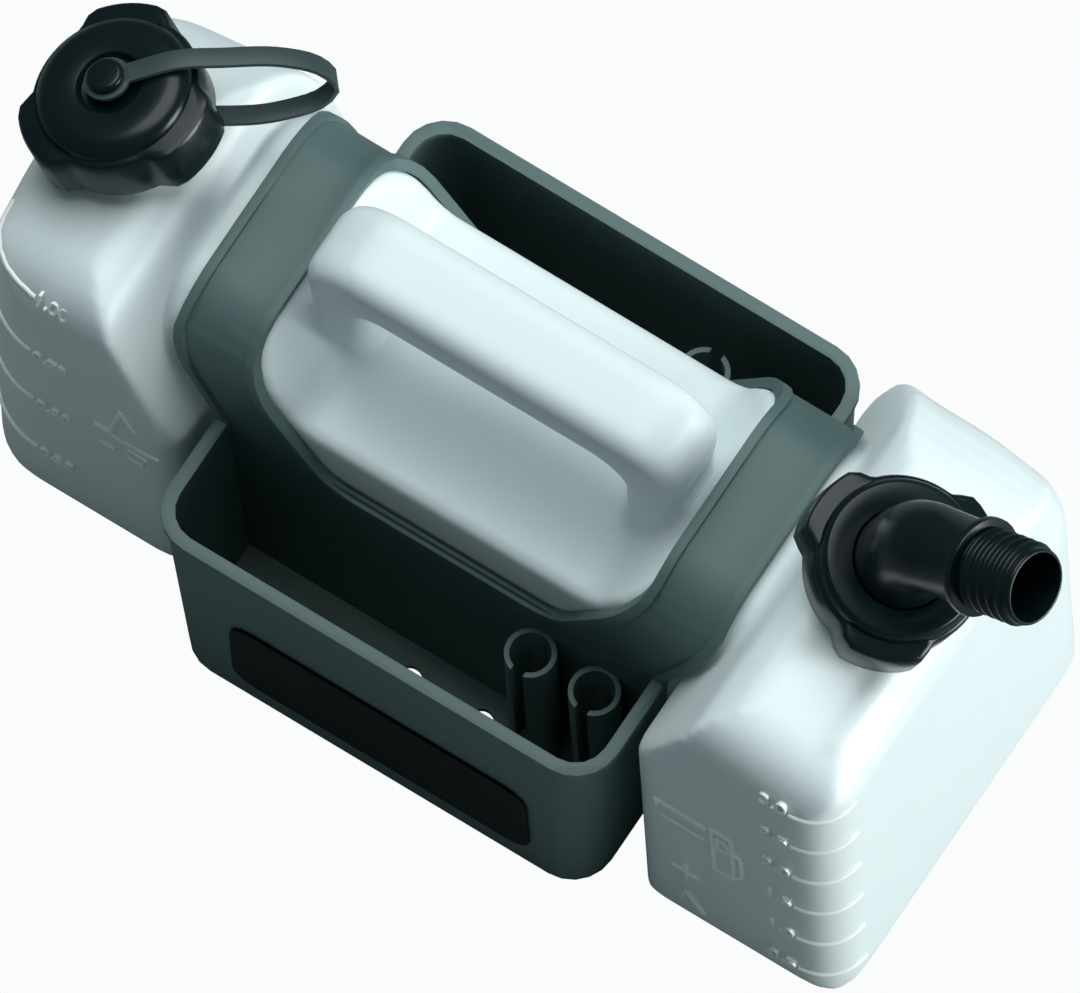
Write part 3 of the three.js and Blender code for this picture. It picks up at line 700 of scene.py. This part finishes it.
class FUELCAN_OT_marks(bpy.types.Operator):
    """Raises the level marks, their figures and the pictograms"""

    bl_idname = "fuelcan.marks"
    bl_label = "Raise marks"

    def execute(self, context):
        can = context.scene.can_sizes
        context.view_layer.update()
        parts = []
        centre = (can.fuel_side - can.fuel_corner, can.fuel_front + can.fuel_corner)
        for step in range(6):
            z = can.fuel_marks_low + can.fuel_mark_pitch * step
            parts.append(corner_rib("fuel_mark", centre, can.fuel_corner, 1.0, z))
            words = f"{0.5 * (step + 1):.1f}"
            parts.append(raised_text(words, centre[0] - 0.5, z + 2.5, 9.0, "RIGHT"))
        for points in FUEL_SIGN:
            parts.append(stroke(points))
        centre = (can.oil_side + can.oil_corner, can.oil_front + can.oil_corner)
        for step in range(4):
            z = can.oil_marks_low + can.oil_mark_pitch * step
            parts.append(corner_rib("oil_mark", centre, can.oil_corner, -1.0, z))
            words = f"{0.25 * (step + 1):.2f}"
            parts.append(raised_text(words, centre[0] + 1.0, z, 8.0, "LEFT"))
        for points in OIL_SIGN:
            parts.append(stroke(points))
        marks = merged(parts[0], parts[1:])
        marks.name = "level_marks"
        smooth(marks, 40.0)
        # The marks get a white colour as painted highlight instead of the canister's milky plastic
        dressed(marks, painted_highlight_plastic(), "can", "natural_plastic")
        return {"FINISHED"}


class FUELCAN_OT_carrier(bpy.types.Operator):
    """Finishes the tool carrier and the bare label plate"""

    bl_idname = "fuelcan.carrier"
    bl_label = "Build carrier"

    def execute(self, context):
        carrier = copy_of("tool_carrier", "moulded_carrier")
        bevelled(carrier, 0.5)
        smooth(carrier, 35.0)
        dressed(carrier, carrier_plastic(), "can", "carrier_plastic", "tool_carrier")
        plate = copy_of("label_plate", "bare_label")
        bevelled(plate, 0.25)
        smooth(plate, 35.0)
        dressed(plate, label_film(), "can", "label_film", "label_plate")
        return {"FINISHED"}


class FUELCAN_OT_closures(bpy.types.Operator):
    """Finishes the oil cap with its strap and the fuel spout with its nut"""

    bl_idname = "fuelcan.closures"
    bl_label = "Build closures"

    def execute(self, context):
        pieces = (
            ("oil_cap", "screw_cap", black_plastic(), "black_plastic", 0.35),
            ("spout_nut", "union_nut", black_plastic(), "black_plastic", 0.35),
            ("fuel_spout", "spout", black_plastic(), "black_plastic", 0.25),
            ("strap_rivet", "lifted_strap", black_plastic(), "black_plastic", 0.4),
            ("cap_strap", "", strap_plastic(), "strap_plastic", 0.3),
        )
        for node, body, material, slot, width in pieces:
            piece = copy_of(node, "fine_" + node)
            bevelled(piece, width, 40.0)
            smooth(piece, 35.0)
            dressed(piece, material, body, slot, node)
        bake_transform(bpy.data.objects["fine_cap_strap"])
        for node in ("oil_cap_seal", "spout_seal"):
            seal = frame["nodes"][node]
            seal.data.materials.clear()
            seal.data.materials.append(seal_rubber())
        return {"FINISHED"}


class FUELCAN_OT_stage(bpy.types.Operator):
    """Sets the pale floor, the soft lights and the camera"""

    bl_idname = "fuelcan.stage"
    bl_label = "Build stage"

    def execute(self, context):
        stage = context.scene.can_stage
        look = context.scene.can_looks
        bpy.ops.object.select_all(action="DESELECT")
        bpy.ops.mesh.primitive_plane_add(size=stage.floor_size, location=(0, 0, -stage.floor_drop))
        floor = context.view_layer.objects.active
        floor.name = "pale_floor"
        material = bpy.data.materials.new("Pale floor")
        material.use_nodes = True
        nodes, links = material.node_tree.nodes, material.node_tree.links
        shader = nodes["Principled BSDF"]
        shader.inputs["Base Color"].default_value = (*stage.bounce, 1.0)
        shader.inputs["Roughness"].default_value = 0.9
        glow = nodes.new("ShaderNodeEmission")
        glow.inputs["Color"].default_value = (*look.floor, 1.0)
        glow.inputs["Strength"].default_value = 1.0
        path = nodes.new("ShaderNodeLightPath")
        mix = nodes.new("ShaderNodeMixShader")
        links.new(path.outputs["Is Camera Ray"], mix.inputs["Fac"])
        links.new(shader.outputs["BSDF"], mix.inputs[1])
        links.new(glow.outputs["Emission"], mix.inputs[2])
        links.new(mix.outputs["Shader"], nodes["Material Output"].inputs["Surface"])
        floor.data.materials.append(material)
        lights = (
            ("top_light", stage.top_place, 1.6, stage.top_light, (0.93, 1.0, 1.0)),
            ("side_light", stage.side_place, 1.0, stage.side_light, (0.97, 1.0, 1.0)),
        )
        for name, place, size, watts, color in lights:
            aim = (-Vector(place)).to_track_quat("-Z", "Y").to_euler()
            bpy.ops.object.light_add(type="AREA", location=place, rotation=aim)
            light = context.view_layer.objects.active
            light.name = name
            light.data.shape = "DISK"
            light.data.size = size
            light.data.energy = watts
            light.data.color = color
        world = bpy.data.worlds.new("Pale world")
        world.use_nodes = True
        background = world.node_tree.nodes["Background"]
        background.inputs["Color"].default_value = (*stage.sky, 1.0)
        background.inputs["Strength"].default_value = stage.ambient
        context.scene.world = world
        azimuth, elevation, roll = (math.radians(v) for v in (stage.azimuth, stage.elevation, stage.roll))
        flat_right = Vector((math.cos(azimuth), math.sin(azimuth), 0))
        back = Vector((
            math.sin(azimuth) * math.cos(elevation),
            -math.cos(azimuth) * math.cos(elevation),
            math.sin(elevation),
        ))
        flat_up = back.cross(flat_right)
        right = flat_right * math.cos(roll) - flat_up * math.sin(roll)
        up = flat_up * math.cos(roll) + flat_right * math.sin(roll)
        turn = Matrix((right, up, back)).transposed().to_euler()
        place = right * stage.shift_right + up * stage.shift_up + back * stage.distance
        bpy.ops.object.camera_add(location=place, rotation=turn)
        camera = context.view_layer.objects.active
        camera.data.type = "ORTHO"
        camera.data.ortho_scale = stage.field
        context.scene.camera = camera
        context.scene.view_settings.view_transform = "Standard"
        return {"FINISHED"}


class FUELCAN_PT_panel(bpy.types.Panel):
    bl_label = "Combination fuel can"
    bl_idname = "FUELCAN_PT_panel"
    bl_space_type = "VIEW_3D"
    bl_region_type = "UI"
    bl_category = "Fuel can"

    def draw(self, context):
        for settings in (context.scene.can_sizes, context.scene.can_looks, context.scene.can_stage):
            for key in settings.__annotations__:
                self.layout.prop(settings, key)
        for operator in OPERATORS:
            self.layout.operator(operator.bl_idname)


OPERATORS = (
    FUELCAN_OT_canister,
    FUELCAN_OT_marks,
    FUELCAN_OT_carrier,
    FUELCAN_OT_closures,
    FUELCAN_OT_stage,
)
CLASSES = (CanSettings, LookSettings, StageSettings, *OPERATORS, FUELCAN_PT_panel)


def register():
    for item in CLASSES:
        bpy.utils.register_class(item)
    bpy.types.Scene.can_sizes = bpy.props.PointerProperty(type=CanSettings)
    bpy.types.Scene.can_looks = bpy.props.PointerProperty(type=LookSettings)
    bpy.types.Scene.can_stage = bpy.props.PointerProperty(type=StageSettings)


def unregister():
    del bpy.types.Scene.can_sizes
    del bpy.types.Scene.can_looks
    del bpy.types.Scene.can_stage
    for item in reversed(CLASSES):
        bpy.utils.unregister_class(item)


def main():
    register()
    bpy.ops.fuelcan.canister()
    bpy.ops.fuelcan.marks()
    bpy.ops.fuelcan.carrier()
    bpy.ops.fuelcan.closures()
    bpy.ops.fuelcan.stage()


if __name__ == "__main__":
    main()
